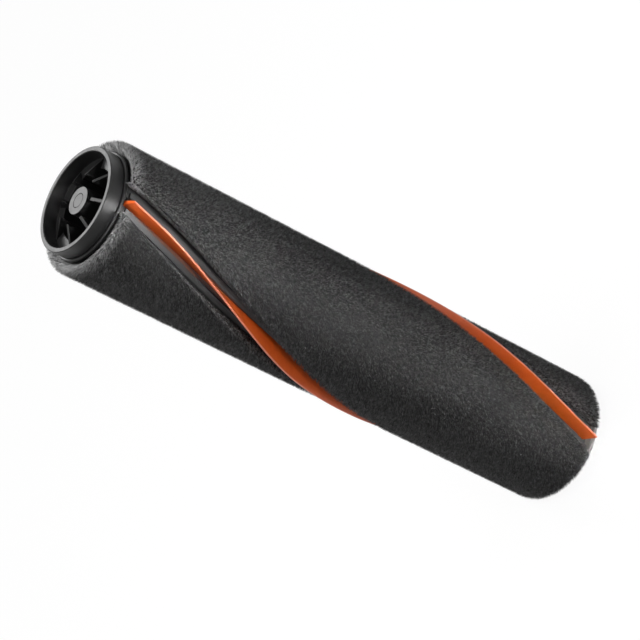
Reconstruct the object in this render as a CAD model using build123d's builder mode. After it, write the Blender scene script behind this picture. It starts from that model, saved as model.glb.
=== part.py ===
"""Brush roller of a vacuum cleaner: plush panels and two helical blades on a hollow core, with a finned drive
socket at one end and a ball bearing at the other. It stands on its bearing end, with the axis along +Z."""

import os
from math import sqrt

from build123d import *

# Roller
overall_length = 203.0
pile_diameter = 44.0
pile_height = 5.6
helix_pitch = 378.0
blade_count = 2
slot_angle_top = 28.5

# Core tube
tube_wall = 2.4
rail_height = 1.1
rail_width = 6.9
rail_drive_setback = 1.6
rail_end_setback = 2.2
key_width = 4.0
key_height = 1.0
key_length = 6.0

# Blades, with the sideways bow of the tip at even steps from the bearing end to the drive end
blade_thickness = 1.2
blade_tip_thickness = 0.65
blade_proud = 0.4
blade_foot_width = 4.8
blade_foot_height = 1.0
blade_foot_sink = 0.5
blade_foot_setback = 2.5
blade_drive_setback = 0.8
blade_end_setback = 1.8
blade_bow = (0.25, -0.45, -0.5, 0, 0.6, 0.7, 0.3, -0.4, -1.0, -1.25, -0.85, -0.2, 0.35, 0.8, 0.9, 0.45, -0.6)

# Plush panels
channel_width = 9.4
shoulder_width = 1.0
shoulder_drop = 1.0
shoulder_radius = 1.6
pile_foot_setback = 1.8
pile_drive_rise = 1.35
pile_end_setback = 0.3
pile_nose_drop = 1.4
pile_round_length = 3.0

# Drive cap
ring_length = 5.0
ring_wall = 1.6
ring_step = 0.85
ring_draft = 0.3
bead_height = 0.7
bead_thickness = 1.15
groove_depth = 0.35
groove_width = 0.4
rim_chamfer = 0.2
ledge_depth = 4.5
socket_depth = 14.0
socket_floor = 2.5
spigot_wall = 2.05
spigot_lead = 0.6
fin_count = 8
fin_phase = 22.5
fin_thickness = 1.0
fin_reach = 3.8
fin_tip_depth = 0.4
fin_root_depth = 4.7
hub_radius = 4.5
hub_depth = 1.1
hub_pin_radius = 2.36
hub_pin_length = 11.0

# Bearing cap
flange_thickness = 1.7
flange_chamfer = 0.4
end_spigot_length = 10.0
end_recess_depth = 3.2
end_web = 2.0
boss_wall = 1.7
boss_recess = 0.4
end_rib_count = 6
end_rib_thickness = 1.2
end_rib_recess = 0.8
shoulder_step = 0.8
shoulder_depth = 1.2
pin_well_radius = 3.1
pin_well_depth = 4.0
well_roof = 1.5

# Ball bearing, 5 x 13 x 4 mm
bearing_bore = 5.0
bearing_diameter = 13.0
bearing_width = 4.0
bearing_recess = 0.8
ring_section = 1.25
ring_chamfer = 0.2
ball_diameter = 2.0
ball_count = 8
cage_thickness = 0.9
cage_base = 0.3
cage_horn = 0.5
shield_thickness = 0.3
shield_seat_depth = 0.35
shield_gap = 0.15

# Clearances
glue_line = 0.05
press_gap = 0.02
slide_gap = 0.1
mouth_gap = 1.1
key_gap = 0.1
race_gap = 0.03
pocket_gap = 0.05
pile_gap = 0.35
cut_over = 1.0

# Radii worked out from the sizes above
pile_radius = pile_diameter / 2
tube_radius = pile_radius - pile_height
tube_bore_radius = tube_radius - tube_wall
rail_radius = tube_radius + rail_height
blade_reach = pile_radius + blade_proud
ring_radius = tube_radius + ring_step
ring_inner_radius = ring_radius - ring_wall
bead_radius = ring_radius + bead_height
spigot_radius = tube_bore_radius - glue_line
cup_radius = spigot_radius - spigot_wall
fin_inner_radius = cup_radius - fin_reach
bearing_radius = bearing_diameter / 2
bore_radius = bearing_bore / 2
pitch_radius = (bearing_radius + bore_radius) / 2
ball_radius = ball_diameter / 2
race_radius = ball_radius + race_gap
pocket_radius = bearing_radius + press_gap
boss_radius = pocket_radius + boss_wall

# Heights above the bearing-end face
rim_top = overall_length
bead_top = rim_top - ring_length
bead_bottom = bead_top - bead_thickness
tube_bottom = flange_thickness
tube_top = bead_bottom
tube_length = tube_top - tube_bottom
rail_bottom = tube_bottom + rail_end_setback
rail_top = tube_top - rail_drive_setback
blade_bottom = tube_bottom + blade_end_setback
blade_top = tube_top - blade_drive_setback
ledge_top = rim_top - ledge_depth
socket_bottom = rim_top - socket_depth
cap_bottom = socket_bottom - socket_floor
hub_top = rim_top - hub_depth
bearing_bottom = bearing_recess
bearing_top = bearing_bottom + bearing_width
bearing_middle = bearing_bottom + bearing_width / 2
end_web_top = end_recess_depth + end_web
spigot_top = flange_thickness + end_spigot_length

blade_turns = [360 * number / blade_count for number in range(blade_count)]


def slot_angle(height):
    """Angle of the blade slot's centre at a height on the roller."""
    return slot_angle_top + 360 / helix_pitch * (height - tube_top)


def helix_plane(height, turn=0):
    """Level plane whose x axis points out through the slot's centre."""
    return Plane.XY.offset(height).rotated((0, 0, slot_angle(height) + turn))


def climb(bottom, top):
    """Path up the axis and the helix that turns a section on its way."""
    rise = top - bottom
    path = Edge.make_line((0, 0, bottom), (0, 0, top))
    guide = Edge.make_helix(helix_pitch, rise, tube_radius, center=(0, 0, bottom))
    return {"path": path, "binormal": guide}


def radial_plane(angle):
    """Upright plane through the axis, with x outwards at an angle."""
    return Plane.XZ.rotated((0, 0, angle))


# Core tube with its helical rails, T-slots and keyways
foot_top = tube_radius - blade_foot_sink
foot_bottom = foot_top - blade_foot_height
slot_bottom = foot_bottom - slide_gap
slot_top = foot_top + slide_gap
slot_half = blade_foot_width / 2 + slide_gap
mouth_half = blade_thickness / 2 + mouth_gap
mouth_outer = rail_radius + cut_over
rail_half = rail_width / 2
rail_edge = sqrt(rail_radius**2 - rail_half**2)
key_angle = slot_angle_top + 180 / blade_count


with BuildPart() as core_tube:
    with BuildSketch(Plane.XY.offset(tube_bottom)):
        Circle(tube_radius)
        Circle(tube_bore_radius, mode=Mode.SUBTRACT)
    extrude(amount=tube_length)
    for turn in blade_turns:
        with BuildSketch(helix_plane(rail_bottom, turn)):
            with BuildLine():
                Polyline(
                    (rail_edge, rail_half),
                    (foot_bottom, rail_half),
                    (foot_bottom, -rail_half),
                    (rail_edge, -rail_half),
                )
                ThreePointArc((rail_edge, -rail_half), (rail_radius, 0), (rail_edge, rail_half))
            make_face()
        sweep(**climb(rail_bottom, rail_top))
    for turn in blade_turns:
        with BuildSketch(helix_plane(tube_bottom - cut_over, turn)):
            with BuildLine():
                Polyline(
                    (slot_bottom, -slot_half),
                    (slot_top, -slot_half),
                    (slot_top, -mouth_half),
                    (mouth_outer, -mouth_half),
                    (mouth_outer, mouth_half),
                    (slot_top, mouth_half),
                    (slot_top, slot_half),
                    (slot_bottom, slot_half),
                    close=True,
                )
            make_face()
        sweep(**climb(tube_bottom - cut_over, tube_top + cut_over), mode=Mode.SUBTRACT)
    with BuildSketch(Plane.XY.offset(tube_top)):
        with Locations(Rotation(0, 0, key_angle)):
            Rectangle(2 * (spigot_radius + key_height + key_gap), key_width + 2 * key_gap)
    extrude(amount=-(key_length + key_gap), mode=Mode.SUBTRACT)

core_tube.part.label = "core_tube"


# Elastomer blades: a foot held in the slot by the rails' lips, and a tapered stem whose tip bows to and fro
foot_span = (rail_bottom + blade_foot_setback, rail_top - blade_foot_setback)
foot_middle = (foot_bottom + foot_top) / 2
stem_half = blade_thickness / 2
tip_half = blade_tip_thickness / 2
bow_step = (blade_top - blade_bottom) / (len(blade_bow) - 1)


def make_blade(turn):
    """One blade, wound round the roller from end to end."""
    with BuildPart() as blade:
        with BuildSketch(helix_plane(foot_span[0], turn)):
            with Locations((foot_middle, 0)):
                Rectangle(blade_foot_height, blade_foot_width)
        sweep(**climb(*foot_span))
        for number, bow in enumerate(blade_bow):
            tip = sqrt(blade_reach**2 - bow**2)
            with BuildSketch(helix_plane(blade_bottom + number * bow_step, turn)):
                with BuildLine():
                    Polyline(
                        (foot_middle, -stem_half),
                        (tip, bow - tip_half),
                        (tip, bow + tip_half),
                        (foot_middle, stem_half),
                        close=True,
                    )
                make_face()
        loft()
    return blade.part


blades = [make_blade(turn) for turn in blade_turns]
for blade, letter in zip(blades, "abcd"):
    blade.label = f"blade_{letter}"


# Plush: a ring of pile with rounded noses at both ends, parted by the blade channels
pile_foot_radius = tube_radius + glue_line
pile_lip_radius = max(bead_radius, rail_radius) + pile_gap
pile_nose_radius = pile_radius - pile_nose_drop
channel_half = channel_width / 2
channel_inner = tube_bore_radius
channel_outer = pile_radius + cut_over
shoulder_x = pile_radius - shoulder_drop
wall_x = sqrt(shoulder_x**2 - channel_half**2)
shoulder_end = (wall_x + shoulder_drop, channel_half + shoulder_width)

with BuildPart() as pile:
    with BuildSketch(Plane.XZ):
        for end, outward, rise in ((tube_bottom, -1, -pile_end_setback), (tube_top, 1, pile_drive_rise)):
            foot = end - outward * pile_foot_setback
            nose = end + outward * rise
            straight = nose - outward * pile_round_length
            middle = (tube_bottom + tube_top) / 2
            with BuildLine():
                Polyline(
                    (pile_radius, straight),
                    (pile_radius, middle),
                    (pile_foot_radius, middle),
                    (pile_foot_radius, foot),
                    (pile_lip_radius, foot + outward * pile_gap),
                    (pile_nose_radius, nose),
                )
                TangentArc((pile_radius, straight), (pile_nose_radius, nose), tangent=(0, outward))
            make_face()
    revolve(axis=Axis.Z)
    channel_span = (tube_bottom - cut_over, tube_top + pile_drive_rise + cut_over)
    for turn in blade_turns:
        with BuildSketch(helix_plane(channel_span[0], turn)):
            with BuildLine():
                Polyline(
                    (wall_x, -channel_half),
                    (channel_inner, -channel_half),
                    (channel_inner, channel_half),
                    (wall_x, channel_half),
                )
                RadiusArc((wall_x, channel_half), shoulder_end, shoulder_radius)
                Polyline(
                    shoulder_end,
                    (channel_outer, shoulder_end[1]),
                    (channel_outer, -shoulder_end[1]),
                    (shoulder_end[0], -shoulder_end[1]),
                )
                RadiusArc((wall_x, -channel_half), (shoulder_end[0], -shoulder_end[1]), -shoulder_radius)
            make_face()
        sweep(**climb(*channel_span), mode=Mode.SUBTRACT)

panels = pile.part.solids().sort_by(Axis.X)
for panel, letter in zip(panels, "abcd"):
    panel.label = f"plush_panel_{letter}"


# Drive cap: rim, bead, ledge, finned socket, hub and keyed spigot
groove_radius = ring_radius - groove_depth
ledge_radius = ring_inner_radius - ring_draft

with BuildPart() as drive_cap:
    with BuildSketch(Plane.XZ):
        with BuildLine():
            Polyline(
                (0, cap_bottom),
                (spigot_radius - spigot_lead, cap_bottom),
                (spigot_radius, cap_bottom + spigot_lead),
                (spigot_radius, bead_bottom),
                (bead_radius, bead_bottom),
                (bead_radius, bead_top),
                (groove_radius, bead_top),
                (groove_radius, bead_top + groove_width),
                (ring_radius, bead_top + groove_width),
                (ring_radius, rim_top - rim_chamfer),
                (ring_radius - rim_chamfer, rim_top),
                (ring_inner_radius + rim_chamfer, rim_top),
                (ring_inner_radius, rim_top - rim_chamfer),
                (ledge_radius, ledge_top),
                (cup_radius, ledge_top),
                (cup_radius, socket_bottom),
                (hub_radius, socket_bottom),
                (hub_radius, hub_top),
                (0, hub_top),
                close=True,
            )
        make_face()
    revolve(axis=Axis.Z)
    bead_edges = drive_cap.edges().filter_by(GeomType.CIRCLE)
    fillet(bead_edges.filter_by(lambda edge: abs(edge.radius - bead_radius) < glue_line), bead_thickness / 3)
    for number in range(fin_count):
        with BuildSketch(radial_plane(fin_phase + 360 / fin_count * number)):
            with BuildLine():
                Polyline(
                    (fin_inner_radius, socket_bottom - socket_floor / 2),
                    (fin_inner_radius, rim_top - fin_tip_depth),
                    (ring_inner_radius, rim_top - fin_root_depth),
                    (ring_inner_radius, ledge_top - fin_thickness),
                    (cup_radius + spigot_wall / 2, ledge_top - fin_thickness),
                    (cup_radius + spigot_wall / 2, socket_bottom - socket_floor / 2),
                    close=True,
                )
            make_face()
        extrude(amount=fin_thickness / 2, both=True)
    with BuildSketch(Plane.XY.offset(bead_bottom)):
        with Locations(Rotation(0, 0, key_angle)):
            Rectangle(2 * (spigot_radius + key_height), key_width)
        Circle(spigot_radius - spigot_wall / 2, mode=Mode.SUBTRACT)
    extrude(amount=-key_length)
    with Locations((0, 0, hub_top)):
        Hole(hub_pin_radius + press_gap, depth=hub_pin_length + press_gap)

drive_cap.part.label = "drive_cap"


# Pin pressed into the hub, flush with its face
with BuildPart() as hub_pin:
    with BuildSketch(Plane.XY.offset(hub_top - hub_pin_length)):
        Circle(hub_pin_radius)
    extrude(amount=hub_pin_length)
    chamfer(hub_pin.edges().filter_by(GeomType.CIRCLE), ring_chamfer)

hub_pin.part.label = "hub_pin"


# Bearing cap: flange, spigot, ribbed recess and the boss with the bearing's pocket
shoulder_inner = bearing_radius - shoulder_step
well_bottom = bearing_top + shoulder_depth
well_top = well_bottom + pin_well_depth
boss_top = well_top + well_roof

with BuildPart() as bearing_cap:
    with BuildSketch():
        Circle(bead_radius)
    extrude(amount=flange_thickness)
    chamfer(bearing_cap.edges().filter_by(GeomType.CIRCLE), flange_chamfer)
    with BuildSketch(Plane.XY.offset(flange_thickness)):
        Circle(spigot_radius)
    extrude(amount=end_spigot_length)
    chamfer(bearing_cap.faces().sort_by(Axis.Z)[-1].edges(), spigot_lead)
    with BuildSketch():
        Circle(cup_radius)
    extrude(amount=end_recess_depth, mode=Mode.SUBTRACT)
    with BuildSketch(Plane.XY.offset(end_web_top)):
        Circle(cup_radius)
    extrude(amount=spigot_top - end_web_top, mode=Mode.SUBTRACT)
    with BuildSketch(Plane.XY.offset(boss_recess)):
        Circle(boss_radius)
    extrude(amount=boss_top - boss_recess)
    with BuildSketch(Plane.XY.offset(end_rib_recess)):
        with PolarLocations(0, end_rib_count):
            with Locations(((boss_radius + cup_radius) / 2, 0)):
                Rectangle(cup_radius - boss_radius + boss_wall, end_rib_thickness)
    extrude(amount=end_recess_depth - end_rib_recess + end_web / 2)
    with BuildSketch():
        Circle(pocket_radius)
    extrude(amount=bearing_top, mode=Mode.SUBTRACT)
    with BuildSketch(Plane.XY.offset(bearing_top)):
        Circle(shoulder_inner)
    extrude(amount=shoulder_depth, mode=Mode.SUBTRACT)
    with BuildSketch(Plane.XY.offset(well_bottom)):
        Circle(pin_well_radius)
    extrude(amount=pin_well_depth, mode=Mode.SUBTRACT)

bearing_cap.part.label = "bearing_cap"


# Ball bearing: two grooved rings, balls in a crown cage, and two shields
inner_land = bore_radius + ring_section
outer_land = bearing_radius - ring_section
seat_radius = outer_land + shield_seat_depth
seat_depth = shield_thickness + glue_line
middle_plane = Plane.XY.offset(bearing_middle)

with BuildPart() as bearing_outer_ring:
    with BuildSketch(Plane.XZ):
        with Locations(((bearing_radius + outer_land) / 2, bearing_middle)):
            Rectangle(ring_section, bearing_width)
        with Locations((pitch_radius, bearing_middle)):
            Circle(race_radius, mode=Mode.SUBTRACT)
        for seat_middle in (bearing_bottom + seat_depth / 2, bearing_top - seat_depth / 2):
            with Locations(((outer_land + seat_radius) / 2, seat_middle)):
                Rectangle(seat_radius - outer_land, seat_depth, mode=Mode.SUBTRACT)
    revolve(axis=Axis.Z)
    outer_edges = bearing_outer_ring.edges().filter_by(GeomType.CIRCLE)
    chamfer(outer_edges.filter_by(lambda edge: abs(edge.radius - bearing_radius) < press_gap), ring_chamfer)

bearing_outer_ring.part.label = "bearing_outer_ring"

with BuildPart() as bearing_inner_ring:
    with BuildSketch(Plane.XZ):
        with Locations(((bore_radius + inner_land) / 2, bearing_middle)):
            Rectangle(ring_section, bearing_width)
        with Locations((pitch_radius, bearing_middle)):
            Circle(race_radius, mode=Mode.SUBTRACT)
    revolve(axis=Axis.Z)
    inner_edges = bearing_inner_ring.edges().filter_by(GeomType.CIRCLE)
    chamfer(inner_edges.filter_by(lambda edge: abs(edge.radius - bore_radius) < press_gap), ring_chamfer)

bearing_inner_ring.part.label = "bearing_inner_ring"


def make_ball(angle):
    """One ball on the pitch circle."""
    with BuildPart() as ball:
        with Locations(middle_plane):
            with PolarLocations(pitch_radius, 1, start_angle=angle):
                Sphere(ball_radius)
    return ball.part


balls = [make_ball(360 / ball_count * number) for number in range(ball_count)]
for number, ball in enumerate(balls, start=1):
    ball.label = f"bearing_ball_{number}"

cage_bottom = bearing_middle - ball_radius - pocket_gap - cage_base
cage_top = bearing_middle + cage_horn

with BuildPart() as bearing_cage:
    with BuildSketch(Plane.XY.offset(cage_bottom)):
        Circle(pitch_radius + cage_thickness / 2)
        Circle(pitch_radius - cage_thickness / 2, mode=Mode.SUBTRACT)
    extrude(amount=cage_top - cage_bottom)
    with Locations(middle_plane):
        with PolarLocations(pitch_radius, ball_count):
            Sphere(ball_radius + pocket_gap, mode=Mode.SUBTRACT)

bearing_cage.part.label = "bearing_cage"


def make_shield(bottom):
    """One pressed shield, seated in the outer ring and clear of the inner one."""
    with BuildPart() as shield:
        with BuildSketch(Plane.XY.offset(bottom)):
            Circle(seat_radius - press_gap)
            Circle(inner_land + shield_gap, mode=Mode.SUBTRACT)
        extrude(amount=shield_thickness)
    return shield.part


bearing_outer_shield = make_shield(bearing_bottom + seat_depth - press_gap - shield_thickness)
bearing_outer_shield.label = "bearing_outer_shield"
bearing_inner_shield = make_shield(bearing_top - seat_depth + press_gap)
bearing_inner_shield.label = "bearing_inner_shield"


os.makedirs("parts", exist_ok=True)
export_step(core_tube.part, "parts/core_tube.step")
for blade in blades:
    export_step(blade, f"parts/{blade.label}.step")
for panel in panels:
    export_step(panel, f"parts/{panel.label}.step")
export_step(drive_cap.part, "parts/drive_cap.step")
export_step(hub_pin.part, "parts/hub_pin.step")
export_step(bearing_cap.part, "parts/bearing_cap.step")
export_step(bearing_outer_ring.part, "parts/bearing_outer_ring.step")
export_step(bearing_inner_ring.part, "parts/bearing_inner_ring.step")
for ball in balls:
    export_step(ball, f"parts/{ball.label}.step")
export_step(bearing_cage.part, "parts/bearing_cage.step")
export_step(bearing_outer_shield, "parts/bearing_outer_shield.step")
export_step(bearing_inner_shield, "parts/bearing_inner_shield.step")
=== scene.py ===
"""Looks of a vacuum brush roller: plush pile as real fibres, elastomer blades, satin plastic and steel."""

import math

import bpy
import numpy as np
from mathutils import Matrix, Vector


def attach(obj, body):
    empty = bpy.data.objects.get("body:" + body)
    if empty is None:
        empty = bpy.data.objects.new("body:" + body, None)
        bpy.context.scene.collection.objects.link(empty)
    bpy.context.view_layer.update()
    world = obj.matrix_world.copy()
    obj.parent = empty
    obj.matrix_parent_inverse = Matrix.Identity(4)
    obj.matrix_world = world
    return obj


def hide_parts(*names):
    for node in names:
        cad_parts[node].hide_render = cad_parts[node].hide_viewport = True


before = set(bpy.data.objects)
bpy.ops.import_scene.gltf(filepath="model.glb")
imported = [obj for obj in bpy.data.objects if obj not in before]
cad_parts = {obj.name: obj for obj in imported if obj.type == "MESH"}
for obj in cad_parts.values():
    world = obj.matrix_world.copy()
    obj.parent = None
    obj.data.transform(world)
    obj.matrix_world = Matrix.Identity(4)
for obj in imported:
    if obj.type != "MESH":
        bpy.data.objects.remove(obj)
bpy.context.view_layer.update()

MM = 0.001

# The roller's own sizes, in millimetres and degrees
RIM_TOP = 203.0
TUBE_BOTTOM = 1.7
TUBE_TOP = 196.85
TUBE_RADIUS = 16.4
HELIX_PITCH = 378.0
SLOT_ANGLE_TOP = 28.5

# Plush; an end has its height, its way out and how far the pile rises past it
PILE_RADIUS = 22.0
CHANNEL_HALF = 4.7
PILE_LIP_RADIUS = 18.3
PILE_LIP_SETBACK = 1.45
PILE_NOSE_RADIUS = 20.6
PILE_ROUND_LENGTH = 3.0
PILE_ENDS = ((TUBE_BOTTOM, -1, -0.3), (TUBE_TOP, 1, 1.35))
NOSE_SINK_SHARE = 0.4
# Heights over which painted light makes the pile lighter towards the drive end
PAINTED_END_LIGHT_SPAN = (193.0, 198.0)
PANEL_TURNS = {"plush_panel_a": 180.0, "plush_panel_b": 0.0}

# Blades, with the sideways bow of the tip at even steps up the blade
BLADE_SPAN = (3.5, 196.05)
BLADE_REACH = 22.4
BLADE_HALF = 0.6
TIP_HALF = 0.325
# Depths below the blade's tip over which its colour turns paler as a painted highlight
TIP_HIGHLIGHT_DEPTHS = (0.4, 0.1)
FOOT_SPAN = (6.4, 192.75)
FOOT_RADII = (14.9, 15.9)
FOOT_HALF = 2.4
BLADE_BOW = (
    0.25, -0.45, -0.5, 0, 0.6, 0.7, 0.3, -0.4, -1.0,
    -1.25, -0.85, -0.2, 0.35, 0.8, 0.9, 0.45, -0.6,
)
BLADE_TURNS = {"blade_a": 0.0, "blade_b": 180.0}

# Camera, fitted to the photograph
CAMERA_AZIMUTH = 7.5
CAMERA_OUT = 823.25
CAMERA_HEIGHT = 637.87
CAMERA_AIM = (-0.053, 0.401, 106.335)
CAMERA_ROLL = 63.41
CAMERA_LENS = 175.42
SENSOR = 36.0

# Stage and light. A lamp has a place (azimuth from the camera, out and up), the height that it faces,
# a width and height in metres, a power in watts and the angle that its light fans out over
FLOOR_HALF = 6.0
FLOOR_GREY = 0.85
FLOOR_ROUGHNESS = 0.9
FLOOR_WHITE_SHARE = 0.93
WORLD_STRENGTH = 0.12
MIDDLE = RIM_TOP / 2
OPEN_LAMP = 180.0
LAMPS = (
    ("key", (9, 400, 200), MIDDLE, (0.12, 0.20), 0.4, OPEN_LAMP),
    ("strip", (10, 420, 200), MIDDLE, (0.012, 0.30), 0.035, 5.0),
    ("low", (18, 300, 45), RIM_TOP, (0.06, 0.08), 0.011, 10.0),
    ("end", (-20, 40, 600), RIM_TOP, (0.20, 0.20), 3.2, OPEN_LAMP),
    ("lower_side", (-100, 500, 150), MIDDLE, (0.10, 0.30), 0.6, OPEN_LAMP),
    ("upper_side", (110, 500, 150), MIDDLE, (0.10, 0.30), 0.6, OPEN_LAMP),
    ("back", (180, 900, 790), MIDDLE, (0.35, 0.35), 4.2, OPEN_LAMP),
)

# The part of a noise texture's range that colours and roughness are spread over
NOISE_LOW = 0.3
NOISE_HIGH = 0.7


def node_material(name):
    """A new material and its Principled shader."""
    material = bpy.data.materials.new(name)
    material.use_nodes = True
    return material, material.node_tree.nodes["Principled BSDF"]


def add_node(material, kind, **inputs):
    """A node of a kind, with its inputs set by name."""
    node = material.node_tree.nodes.new(kind)
    for key, value in inputs.items():
        node.inputs[key.replace("_", " ")].default_value = value
    return node


def link(material, source, target):
    """Joins an output to an input in a material's or a world's tree."""
    material.node_tree.links.new(source, target)


def noise(material, scale, detail=4.0, roughness=0.6):
    """Noise that sits in the object's own coordinates, with scale in waves per metre."""
    place = add_node(material, "ShaderNodeTexCoord")
    texture = add_node(material, "ShaderNodeTexNoise", Scale=scale, Detail=detail, Roughness=roughness)
    link(material, place.outputs["Object"], texture.inputs["Vector"])
    return texture.outputs["Fac"]


def ramp(material, factor, stops):
    """Colours spread over a factor: stops are (place, colour)."""
    node = add_node(material, "ShaderNodeValToRGB")
    elements = node.color_ramp.elements
    while len(elements) < len(stops):
        elements.new(0.5)
    for element, (place, colour) in zip(elements, stops):
        element.position = place
        element.color = (*colour, 1.0)
    link(material, factor, node.inputs["Fac"])
    return node.outputs["Color"]


def mottled(material, factor, dark, light):
    """A colour that goes from dark to light with a noise factor."""
    return ramp(material, factor, [(NOISE_LOW, dark), (NOISE_HIGH, light)])


def spread(material, factor, low, high):
    """A number that goes from low to high with a noise factor."""
    node = add_node(
        material, "ShaderNodeMapRange", From_Min=NOISE_LOW, From_Max=NOISE_HIGH, To_Min=low, To_Max=high
    )
    link(material, factor, node.inputs["Value"])
    return node.outputs["Result"]


def bump(material, shader, height, strength, distance, edge=None):
    """Surface relief from a height, in metres, over edges rounded to a radius."""
    node = add_node(material, "ShaderNodeBump", Strength=strength, Distance=distance)
    link(material, height, node.inputs["Height"])
    link(material, node.outputs["Normal"], shader.inputs["Normal"])
    if edge:
        round_edge = add_node(material, "ShaderNodeBevel", Radius=edge)
        link(material, round_edge.outputs["Normal"], node.inputs["Normal"])


def grey(value):
    """A neutral colour."""
    return (value, value, value)


def satin_plastic(name, dark, light, roughness, shine, edge=None):
    """Moulded plastic with a fine spark-eroded grain."""
    material, shader = node_material(name)
    colour = mottled(material, noise(material, scale=180.0), dark, light)
    link(material, colour, shader.inputs["Base Color"])
    link(material, spread(material, noise(material, scale=420.0), *roughness), shader.inputs["Roughness"])
    shader.inputs["Specular IOR Level"].default_value = shine
    grain = noise(material, scale=5200.0, detail=2.0)
    bump(material, shader, grain, strength=0.12, distance=0.00006, edge=edge)
    return material


def tip_share(material):
    """0 on a blade's faces and 1 along its tip, where a highlight is painted, by the distance from the
    roller's axis.
    """
    place = add_node(material, "ShaderNodeTexCoord")
    flat = add_node(material, "ShaderNodeVectorMath")
    flat.operation = "MULTIPLY"
    flat.inputs[1].default_value = (1, 1, 0)
    link(material, place.outputs["Object"], flat.inputs[0])
    distance = add_node(material, "ShaderNodeVectorMath")
    distance.operation = "LENGTH"
    link(material, flat.outputs["Vector"], distance.inputs[0])
    low, high = ((BLADE_REACH - depth) * MM for depth in TIP_HIGHLIGHT_DEPTHS)
    share = add_node(material, "ShaderNodeMapRange", From_Min=low, From_Max=high)
    link(material, distance.outputs["Value"], share.inputs["Value"])
    return share.outputs["Result"]


def elastomer(name, dark, light, tip_highlight):
    """Moulded elastomer, a little mottled and satin, with a painted highlight that makes the tip paler."""
    material, shader = node_material(name)
    tint = add_node(material, "ShaderNodeMixRGB", Color2=(*tip_highlight, 1))
    link(material, tip_share(material), tint.inputs["Fac"])
    face = mottled(material, noise(material, scale=240.0), dark, light)
    link(material, face, tint.inputs["Color1"])
    link(material, tint.outputs["Color"], shader.inputs["Base Color"])
    roughness = spread(material, noise(material, scale=700.0), low=0.34, high=0.4)
    link(material, roughness, shader.inputs["Roughness"])
    shader.inputs["Specular IOR Level"].default_value = 0.35
    bump(material, shader, noise(material, scale=3800.0, detail=2.0), strength=0.08, distance=0.00005)
    return material


def steel(name, dark, light, roughness):
    """Turned or pressed steel with fine lines round the axis."""
    material, shader = node_material(name)
    colour = mottled(material, noise(material, scale=300.0), dark, light)
    link(material, colour, shader.inputs["Base Color"])
    shader.inputs["Metallic"].default_value = 1.0
    place = add_node(material, "ShaderNodeTexCoord")
    rings = add_node(material, "ShaderNodeTexWave", Scale=900.0, Distortion=1.5, Detail=2.0)
    rings.wave_type = "RINGS"
    rings.rings_direction = "Z"
    link(material, place.outputs["Object"], rings.inputs["Vector"])
    link(material, spread(material, rings.outputs["Fac"], *roughness), shader.inputs["Roughness"])
    bump(material, shader, rings.outputs["Fac"], strength=0.1, distance=0.00002)
    return material


def painted_end_light(material):
    """Painted light: 0 along the roller, rising over the plush's end by the drive socket, where light from
    that end falls.
    """
    place = add_node(material, "ShaderNodeTexCoord")
    height = add_node(material, "ShaderNodeSeparateXYZ")
    link(material, place.outputs["Object"], height.inputs["Vector"])
    low, high = (end * MM for end in PAINTED_END_LIGHT_SPAN)
    lift = add_node(material, "ShaderNodeMapRange", From_Min=low, From_Max=high, To_Min=0.0, To_Max=0.35)
    link(material, height.outputs["Z"], lift.inputs["Value"])
    return lift.outputs["Result"]


def pile_fibre(name, dark, light, end_light_colour):
    """Charcoal fibre, nearly matt: its shade changes from tuft to tuft, and painted light makes it lighter
    at the drive end.
    """
    material, shader = node_material(name)
    total = add_node(material, "ShaderNodeMath")
    link(material, noise(material, scale=1000.0, detail=6.0, roughness=0.8), total.inputs[0])
    link(material, painted_end_light(material), total.inputs[1])
    # The third stop is painted light: lighter fibre where light falls on the drive end
    shade = ramp(material, total.outputs["Value"], [(0.4, dark), (0.62, light), (1.0, end_light_colour)])
    link(material, shade, shader.inputs["Base Color"])
    shader.inputs["Roughness"].default_value = 0.6
    shader.inputs["Specular IOR Level"].default_value = 0.1
    return material


CAP_PLASTIC = satin_plastic("cap_plastic", grey(0.003), grey(0.005), (0.32, 0.4), 0.22, edge=0.00015)
# The bearing cap's light grey is painted glare: the dark plastic shown as lit by strong light at that end
END_PLASTIC_GLARE = satin_plastic("end_cap_plastic", grey(0.2), grey(0.24), (0.36, 0.46), 0.3, edge=0.00015)
CORE_PLASTIC = satin_plastic("core_plastic", grey(0.022), grey(0.032), (0.36, 0.46), 0.2)
# The last colour is the painted highlight along the blade's tip
ORANGE = elastomer("blade_elastomer", (0.45, 0.065, 0.009), (0.53, 0.085, 0.013), (0.52, 0.15, 0.085))
# The foot is the blade's elastomer darkened as painted shade for its place deep in the slot, with no tip
# highlight
ORANGE_PAINTED_SHADE = elastomer("blade_foot_painted_shade", (0.06, 0.016, 0.006), (0.09, 0.022, 0.008), (0.09, 0.022, 0.008))
PIN_STEEL = steel("pin_steel", grey(0.03), grey(0.04), (0.36, 0.46))
RING_STEEL = steel("bearing_steel", grey(0.5), grey(0.6), (0.2, 0.3))
BALL_STEEL = steel("ball_steel", grey(0.65), grey(0.72), (0.08, 0.14))
SHIELD_STEEL = steel("shield_steel", grey(0.42), grey(0.5), (0.28, 0.4))
CAGE_NYLON = satin_plastic("cage_plastic", (0.4, 0.33, 0.22), (0.5, 0.43, 0.31), (0.45, 0.6), 0.5)
# The roots are the same fibre, darkened as painted shade for the depth of the pile
PILE_ROOT_SHADE = pile_fibre("pile_root_painted_shade", grey(0.006), grey(0.02), grey(0.05))
PILE_FIBRE = pile_fibre("pile_fibre", grey(0.003), grey(0.15), grey(0.32))

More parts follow.
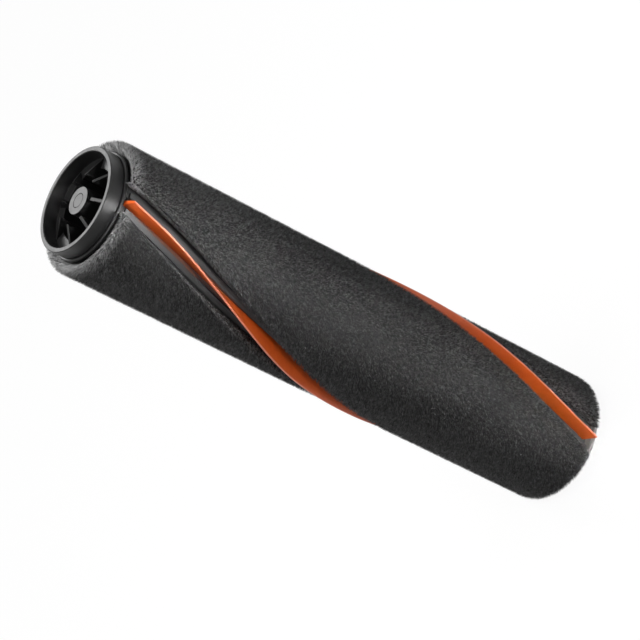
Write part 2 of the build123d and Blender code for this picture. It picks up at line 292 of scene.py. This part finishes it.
BALL_COUNT = 8
NODE_MATERIALS = {
    "core_tube": CORE_PLASTIC,
    "drive_cap": CAP_PLASTIC,
    "bearing_cap": END_PLASTIC_GLARE,
    "hub_pin": PIN_STEEL,
    "bearing_outer_ring": RING_STEEL,
    "bearing_inner_ring": RING_STEEL,
    "bearing_cage": CAGE_NYLON,
    "bearing_outer_shield": SHIELD_STEEL,
    "bearing_inner_shield": SHIELD_STEEL,
    **{f"bearing_ball_{number}": BALL_STEEL for number in range(1, BALL_COUNT + 1)},
}


def dress_nodes():
    """Gives each CAD node that shows its material."""
    for name, material in NODE_MATERIALS.items():
        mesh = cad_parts[name].data
        mesh.materials.clear()
        mesh.materials.append(material)


# Plush roots and fibres, in millimetres; leans are shares of a fibre's length
BODY_SINK = 1.0
BODY_RINGS = 120
BODY_ARC = 40
BODY_EDGE = 0.6
BODY_BASE_GAP = 0.2
BODY_LEAST_WALL = 0.3
FIBRES_PER_PIECE = 36000
PIECES_PER_PANEL = 3
FIBRE_LENGTH = (1.7, 2.5)
FIBRE_WIDTH = (0.16, 0.26)
FIBRE_OVERSHOOT = (-0.05, 0.3)
FIBRE_SWEEP = -0.6
NOSE_SPLAY = math.radians(54.0)
NOSE_LIFT = 0.25
WALL_SHARE = 0.08
WALL_DEPTH = 3.6
WALL_LEAN = 0.1
LEAN_WAVES = 36
LEAN_WAVELENGTH = (3.0, 14.0)
LEAN_FIELD = 0.08
LEAN_RANDOM = 0.18
SHADE_RANDOM = 0.5
SHOULDER_WIDTH = 1.2
SHOULDER_DROP = 0.5
EDGE_BLEND = 5.0
CALM_WIDTH = 2.0
SEED = 11


def slot_angle(z):
    """Angle of the first blade slot at a height, in degrees."""
    return SLOT_ANGLE_TOP + 360.0 / HELIX_PITCH * (z - TUBE_TOP)


def pile_profile(sink=0.0, points=14):
    """The pile's outline from the lower lip to the upper one, as (radius, height) rows, sunk by a depth."""
    radius = PILE_RADIUS - sink
    nose_radius = PILE_NOSE_RADIUS - sink * NOSE_SINK_SHARE
    drop = radius - nose_radius
    bend = (drop * drop + PILE_ROUND_LENGTH * PILE_ROUND_LENGTH) / (2 * drop)
    sweep = math.asin(PILE_ROUND_LENGTH / bend)
    ends = []
    for end, outward, rise in PILE_ENDS:
        nose = end + outward * (rise - sink)
        rows = [(PILE_LIP_RADIUS, end - outward * PILE_LIP_SETBACK), (nose_radius, nose)]
        for angle in np.linspace(sweep, 0, points)[1:]:
            back = PILE_ROUND_LENGTH - bend * math.sin(angle)
            rows.append((radius - bend * (1 - math.cos(angle)), nose - outward * back))
        ends.append(rows)
    low, high = ends
    return np.array(low + high[::-1])


def along(profile, share):
    """Points and outward normals at shares (0 to 1, by area) along a profile."""
    step = np.diff(profile, axis=0)
    length = np.hypot(step[:, 0], step[:, 1])
    area = length * (profile[1:, 0] + profile[:-1, 0])
    edge = np.concatenate([[0], np.cumsum(area)])
    at = np.clip(share, 0, 1) * edge[-1]
    piece = np.clip(np.searchsorted(edge, at, side="right") - 1, 0, len(length) - 1)
    part = (at - edge[piece]) / area[piece]
    point = profile[piece] + part[:, None] * step[piece]
    normal = np.stack([step[piece, 1], -step[piece, 0]], 1) / length[piece][:, None]
    return point, normal


def lean_field(rng, u, v):
    """Two smooth random fields over a surface, one for each way that a fibre can lean."""
    fields = []
    for _ in range(2):
        wave = np.exp(rng.uniform(*np.log(LEAN_WAVELENGTH), LEAN_WAVES))
        way = rng.uniform(0, 2 * np.pi, LEAN_WAVES)
        phase = rng.uniform(0, 2 * np.pi, LEAN_WAVES)
        total = np.zeros_like(u)
        for w, a, p in zip(wave, way, phase):
            total += np.sin(2 * np.pi * (u * math.cos(a) + v * math.sin(a)) / w + p)
        fields.append(total / math.sqrt(LEAN_WAVES / 2))
    return fields


def sow(rng, turn):
    """Random tip places over a panel and its channel walls, with what is needed to stand a fibre there."""
    count = FIBRES_PER_PIECE
    point, normal = along(pile_profile(), rng.uniform(0, 1, count))
    r, z = point.T
    across = rng.uniform(0, 1, count)
    drop = np.where(rng.uniform(0, 1, count) < WALL_SHARE, rng.uniform(0, WALL_DEPTH, count), 0)
    r = np.maximum(r - drop, np.minimum(r, PILE_LIP_RADIUS))
    across = np.where(drop > 0, np.round(across), across)
    edge = np.degrees(np.arcsin(CHANNEL_HALF / r))
    angle = np.radians(slot_angle(z) + turn + edge + across * (180 - 2 * edge))
    side = np.minimum(across, 1 - across) * np.radians(180 - 2 * edge) * r
    return r, z, normal, angle, across, side, drop


def level(angle):
    """Level unit vectors at angles."""
    return np.stack([np.cos(angle), np.sin(angle), np.zeros_like(angle)], 1)


def unit(vectors):
    """The same ways with a length of 1."""
    return vectors / np.linalg.norm(vectors, axis=1)[:, None]


def pile_fibres(name, turn, seed):
    """One piece of a panel's coat: closed tapered spikes that stand out of the pile."""
    rng = np.random.default_rng(seed)
    r, z, normal, angle, across, side, drop = sow(rng, turn)
    out = level(angle)
    tangent = level(angle + np.pi / 2)
    up = np.array([0.0, 0.0, 1.0])
    wall = level(np.radians(slot_angle(z) + turn) + np.pi * (across > 0.5))
    inward = np.clip(side / EDGE_BLEND, 0, 1)[:, None]
    upright = unit(inward * out + (1 - inward) * wall)
    splay = np.clip(np.arctan2(normal[:, 1], normal[:, 0]), -NOSE_SPLAY, NOSE_SPLAY)
    lean_t, lean_z = (LEAN_FIELD * field for field in lean_field(rng, angle * PILE_RADIUS, z))
    ruffle_t, ruffle_z = LEAN_RANDOM * rng.normal(size=(2, len(r)))
    calm = np.clip(side / CALM_WIDTH, 0, 1)
    channel_way = np.sign(across - 0.5)
    brow = np.clip(1 - side / SHOULDER_WIDTH, 0, 1) * channel_way
    wall_lean = WALL_LEAN * (drop > 0) * channel_way
    lean_t = (lean_t + ruffle_t) * calm + FIBRE_SWEEP / FIBRE_LENGTH[0] + wall_lean
    lean_z = (lean_z + ruffle_z) * np.cos(splay) ** 2
    lean = lean_t[:, None] * tangent + lean_z[:, None] * up
    way = unit(np.cos(splay)[:, None] * upright + np.sin(splay)[:, None] * up + lean)
    facing = normal[:, :1] * out + normal[:, 1:] * up
    lift = rng.uniform(*FIBRE_OVERSHOOT, len(r)) - SHOULDER_DROP * brow**2
    lift = lift * np.clip(normal[:, 0], 0, 1) * (drop == 0) + NOSE_LIFT * np.sin(2 * np.abs(splay))
    sweep = FIBRE_SWEEP * np.clip((r - TUBE_RADIUS) / (PILE_RADIUS - TUBE_RADIUS), 0, 1)
    tip = r[:, None] * out + z[:, None] * up + lift[:, None] * facing + sweep[:, None] * tangent
    root = tip - way * rng.uniform(*FIBRE_LENGTH, len(r))[:, None]
    shade = unit(facing + lean + brow[:, None] * tangent + SHADE_RANDOM * rng.normal(size=tip.shape))
    spot = np.stack([across, (z - z.min()) / np.ptp(z)], 1)
    return spikes(name, rng, root, tip, shade, spot)


def spikes(name, rng, root, tip, shade, spot):
    """Three-sided spikes from roots to tips, shaded as the pile's surface."""
    way = unit(tip - root)
    first = unit(np.cross(way, rng.normal(size=way.shape)))
    second = np.cross(way, first)
    half = rng.uniform(*FIBRE_WIDTH, len(way))[:, None] / math.sqrt(3)
    corners = []
    for third in range(3):
        turn_by = 2 * np.pi * third / 3
        corners.append(root + half * (math.cos(turn_by) * first + math.sin(turn_by) * second))
    points = np.stack([*corners, tip], 1).reshape(-1, 3) * MM
    base = 4 * np.arange(len(way))[:, None, None]
    faces = (base + np.array([[0, 1, 3], [1, 2, 3], [2, 0, 3], [0, 2, 1]])).reshape(-1, 3)
    piece = mesh_object(name, points, faces, PILE_FIBRE)
    spread_map(piece.data, np.repeat(spot, 4, axis=0))
    piece.data.shade_smooth()
    piece.data.normals_split_custom_set_from_vertices(np.repeat(shade, 4, axis=0))
    return piece


# The fibres' map: a spike's half width in it, its margin and the angle over which lofted edges are sharp
BAKE_MAP = "OFBake"
SPOT = 0.0006
MAP_MARGIN = 0.01
SHARP_ANGLE = math.radians(40)


def mesh_object(name, points, faces, material):
    """A mesh object from points, in metres, and faces."""
    mesh = bpy.data.meshes.new(name)
    mesh.from_pydata(points, [], faces)
    mesh.materials.append(material)
    piece = bpy.data.objects.new(name, mesh)
    bpy.context.scene.collection.objects.link(piece)
    return piece


def spread_map(mesh, spots):
    """An even map for spikes of four vertices, which puts each at its spot."""
    layer = mesh.uv_layers.new(name=BAKE_MAP)
    nudge = np.array([(-SPOT, -SPOT), (SPOT, -SPOT), (0, SPOT), (0, 0)])
    flat = np.clip(spots, MAP_MARGIN, 1 - MAP_MARGIN) + np.tile(nudge, (len(spots) // 4, 1))
    corner = np.empty(len(mesh.loops), np.int32)
    mesh.loops.foreach_get("vertex_index", corner)
    layer.uv.foreach_set("vector", flat[corner].astype(np.float32).ravel())


def loft(name, rings, material):
    """A closed skin over rings of points, each of which goes up one side and back down the other."""
    count, loop = len(rings), len(rings[0])
    ring = np.arange(count - 1)[:, None] * loop
    here = np.arange(loop)
    after = (here + 1) % loop
    corners = [ring + here, ring + after, ring + loop + after, ring + loop + here]
    sides = np.stack(corners, -1).reshape(-1, 4)
    one = here[: loop // 2 - 1]
    other = loop - 1 - one
    bottom = np.stack([one, other, other - 1, one + 1], 1)
    top = bottom[:, ::-1] + (count - 1) * loop
    piece = mesh_object(name, np.concatenate(rings) * MM, np.concatenate([sides, bottom, top]), material)
    piece.data.shade_smooth()
    piece.data.set_sharp_from_angle(angle=SHARP_ANGLE)
    return piece


def pile_body(name, turn):
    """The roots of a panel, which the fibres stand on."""
    point, _ = along(pile_profile(sink=BODY_SINK), np.linspace(0, 1, BODY_RINGS))
    rings = []
    for radius, height in point:
        inner = min(TUBE_RADIUS + BODY_BASE_GAP, radius - BODY_LEAST_WALL)
        start = math.radians(slot_angle(height) + turn)
        arcs = []
        for at in (radius, inner):
            edge = math.asin((CHANNEL_HALF + BODY_EDGE) / at)
            arcs.append(at * level(np.linspace(start + edge, start + math.pi - edge, BODY_ARC)))
        ring = np.concatenate([arcs[0], arcs[1][::-1]])
        rings.append(ring + np.array([0, 0, height]))
    # The roots carry painted shade, darker than the fibres above them
    return loft(name, rings, PILE_ROOT_SHADE)


def dress_plush():
    """Replaces each plain panel with roots and fibres."""
    for number, (node, turn) in enumerate(PANEL_TURNS.items()):
        body = pile_body(f"{node}_roots", turn)
        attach(body, "roller")
        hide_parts(node)
        for part in range(PIECES_PER_PANEL):
            seed = SEED + number * PIECES_PER_PANEL + part
            coat = pile_fibres(f"{node}_fibres_{part + 1}", turn, seed)
            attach(coat, "roller")


# Points along and round a blade
BLADE_RINGS = 220
FACE_POINTS = 7
TIP_POINTS = 8


def bow(height):
    """Sideways shift of the blade's tip at a height, on a smooth curve through the given steps."""
    low, high = BLADE_SPAN
    steps = np.pad(BLADE_BOW, 2, "edge")
    place = (height - low) / (high - low) * (len(BLADE_BOW) - 1)
    start = min(max(int(place), 0), len(BLADE_BOW) - 2)
    t = place - start
    a, b, c, d = steps[start + 1 : start + 5]
    return b + t * ((c - a) + t * ((2 * a - 5 * b + 4 * c - d) + t * (3 * b - a - 3 * c + d))) / 2


def stem_section(height):
    """The blade's stem: tapered faces from the foot up to a rounded tip."""
    shift = bow(height)
    low = sum(FOOT_RADII) / 2
    high = math.sqrt(BLADE_REACH**2 - shift**2) - TIP_HALF
    rise = np.linspace(low, high, FACE_POINTS)
    half = np.linspace(BLADE_HALF, TIP_HALF, FACE_POINTS)
    turn = np.linspace(-np.pi / 2, np.pi / 2, TIP_POINTS + 2)[1:-1]
    x = np.concatenate([rise, high + TIP_HALF * np.cos(turn), rise[::-1]])
    across = np.concatenate([-half, TIP_HALF * np.sin(turn), half[::-1]])
    return np.stack([x, across + shift * (x - low) / (high - low)], 1)


def foot_section(height):
    """The blade's foot, which the slot's lips hold."""
    low, high = FOOT_RADII
    return np.array([(low, -FOOT_HALF), (high, -FOOT_HALF), (high, FOOT_HALF), (low, FOOT_HALF)])


def wind(section, span, turn):
    """Rings of a section that turns with the slot over a span of heights."""
    rings = []
    for height in np.linspace(*span, BLADE_RINGS):
        angle = math.radians(slot_angle(height) + turn)
        x, y = section(height).T
        level_x = x * math.cos(angle) - y * math.sin(angle)
        level_y = x * math.sin(angle) + y * math.cos(angle)
        rings.append(np.stack([level_x, level_y, np.full_like(level_x, height)], 1))
    return rings


def dress_blades():
    """Replaces each blade with one that has a soft rounded tip."""
    for node, turn in BLADE_TURNS.items():
        stem = loft(f"{node}_stem", wind(stem_section, BLADE_SPAN, turn), ORANGE)
        # The foot takes the painted-shade copy of the blade's elastomer
        foot = loft(f"{node}_foot", wind(foot_section, FOOT_SPAN, turn), ORANGE_PAINTED_SHADE)
        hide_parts(node)
        for piece in (stem, foot):
            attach(piece, "roller")


def polar(azimuth, out, height):
    """A point at an azimuth from the camera's own, in millimetres out and up."""
    angle = math.radians(CAMERA_AZIMUTH + azimuth)
    return Vector((out * math.cos(angle), out * math.sin(angle), height)) * MM


def add_floor():
    """A pale floor that shows white to the camera and in reflections, with a share of its shadow."""
    size = FLOOR_HALF
    corners = [(-size, -size, 0), (size, -size, 0), (size, size, 0), (-size, size, 0)]
    material, shader = node_material("floor")
    shader.inputs["Base Color"].default_value = (*grey(FLOOR_GREY), 1)
    shader.inputs["Roughness"].default_value = FLOOR_ROUGHNESS
    white = add_node(material, "ShaderNodeEmission", Color=(1, 1, 1, 1), Strength=1.0)
    mix = add_node(material, "ShaderNodeMixShader")
    link(material, seen_directly(material, FLOOR_WHITE_SHARE), mix.inputs["Fac"])
    link(material, shader.outputs["BSDF"], mix.inputs[1])
    link(material, white.outputs["Emission"], mix.inputs[2])
    link(material, mix.outputs["Shader"], material.node_tree.nodes["Material Output"].inputs["Surface"])
    mesh_object("floor", corners, [(0, 1, 2, 3)], material)


def seen_directly(tree_owner, share):
    """The share for rays from the camera, a reflection or glass, and 0 for others."""
    path = add_node(tree_owner, "ShaderNodeLightPath")
    first = add_node(tree_owner, "ShaderNodeMath")
    first.operation = "MAXIMUM"
    link(tree_owner, path.outputs["Is Camera Ray"], first.inputs[0])
    link(tree_owner, path.outputs["Is Glossy Ray"], first.inputs[1])
    second = add_node(tree_owner, "ShaderNodeMath")
    second.operation = "MAXIMUM"
    link(tree_owner, first.outputs["Value"], second.inputs[0])
    link(tree_owner, path.outputs["Is Transmission Ray"], second.inputs[1])
    part = add_node(tree_owner, "ShaderNodeMath")
    part.operation = "MULTIPLY"
    part.inputs[1].default_value = share
    link(tree_owner, second.outputs["Value"], part.inputs[0])
    return part.outputs["Value"]


def add_world():
    """A soft even light, with a white background for the camera and in reflections."""
    world = bpy.data.worlds.new("studio")
    bpy.context.scene.world = world
    world.use_nodes = True
    soft = world.node_tree.nodes["Background"]
    soft.inputs["Color"].default_value = (1, 1, 1, 1)
    soft.inputs["Strength"].default_value = WORLD_STRENGTH
    white = add_node(world, "ShaderNodeBackground", Color=(1, 1, 1, 1), Strength=1.0)
    mix = add_node(world, "ShaderNodeMixShader")
    link(world, seen_directly(world, 1.0), mix.inputs["Fac"])
    link(world, soft.outputs["Background"], mix.inputs[1])
    link(world, white.outputs["Background"], mix.inputs[2])
    link(world, mix.outputs["Shader"], world.node_tree.nodes["World Output"].inputs["Surface"])


def add_lamp(name, place, aim, size, power, spread_angle):
    """A rectangular softbox that faces a point."""
    data = bpy.data.lights.new(name, "AREA")
    data.shape = "RECTANGLE"
    data.size, data.size_y = size
    data.energy = power
    data.spread = math.radians(spread_angle)
    lamp = bpy.data.objects.new(name, data)
    lamp.location = place
    lamp.rotation_euler = (aim - place).to_track_quat("-Z", "Y").to_euler()
    bpy.context.scene.collection.objects.link(lamp)


def add_lights():
    """All lamps, each of which faces a height on the roller's axis."""
    for name, place, aim_height, size, power, spread_angle in LAMPS:
        aim = Vector((0, 0, aim_height)) * MM
        add_lamp(name, polar(*place), aim, size, power, spread_angle)


def add_camera():
    """The camera that took the photograph, as fitted."""
    data = bpy.data.cameras.new("camera")
    data.lens = CAMERA_LENS
    data.sensor_width = SENSOR
    data.sensor_fit = "HORIZONTAL"
    camera = bpy.data.objects.new("camera", data)
    place = polar(0, CAMERA_OUT, CAMERA_HEIGHT)
    aim = Vector(CAMERA_AIM) * MM
    upright = (aim - place).to_track_quat("-Z", "Y").to_matrix()
    roll = Matrix.Rotation(-math.radians(CAMERA_ROLL), 3, "Z")
    camera.matrix_world = Matrix.Translation(place) @ (upright @ roll).to_4x4()
    bpy.context.scene.collection.objects.link(camera)
    bpy.context.scene.camera = camera


dress_nodes()
dress_plush()
dress_blades()
add_floor()
add_world()
add_lights()
add_camera()
bpy.context.scene.view_settings.view_transform = "Standard"
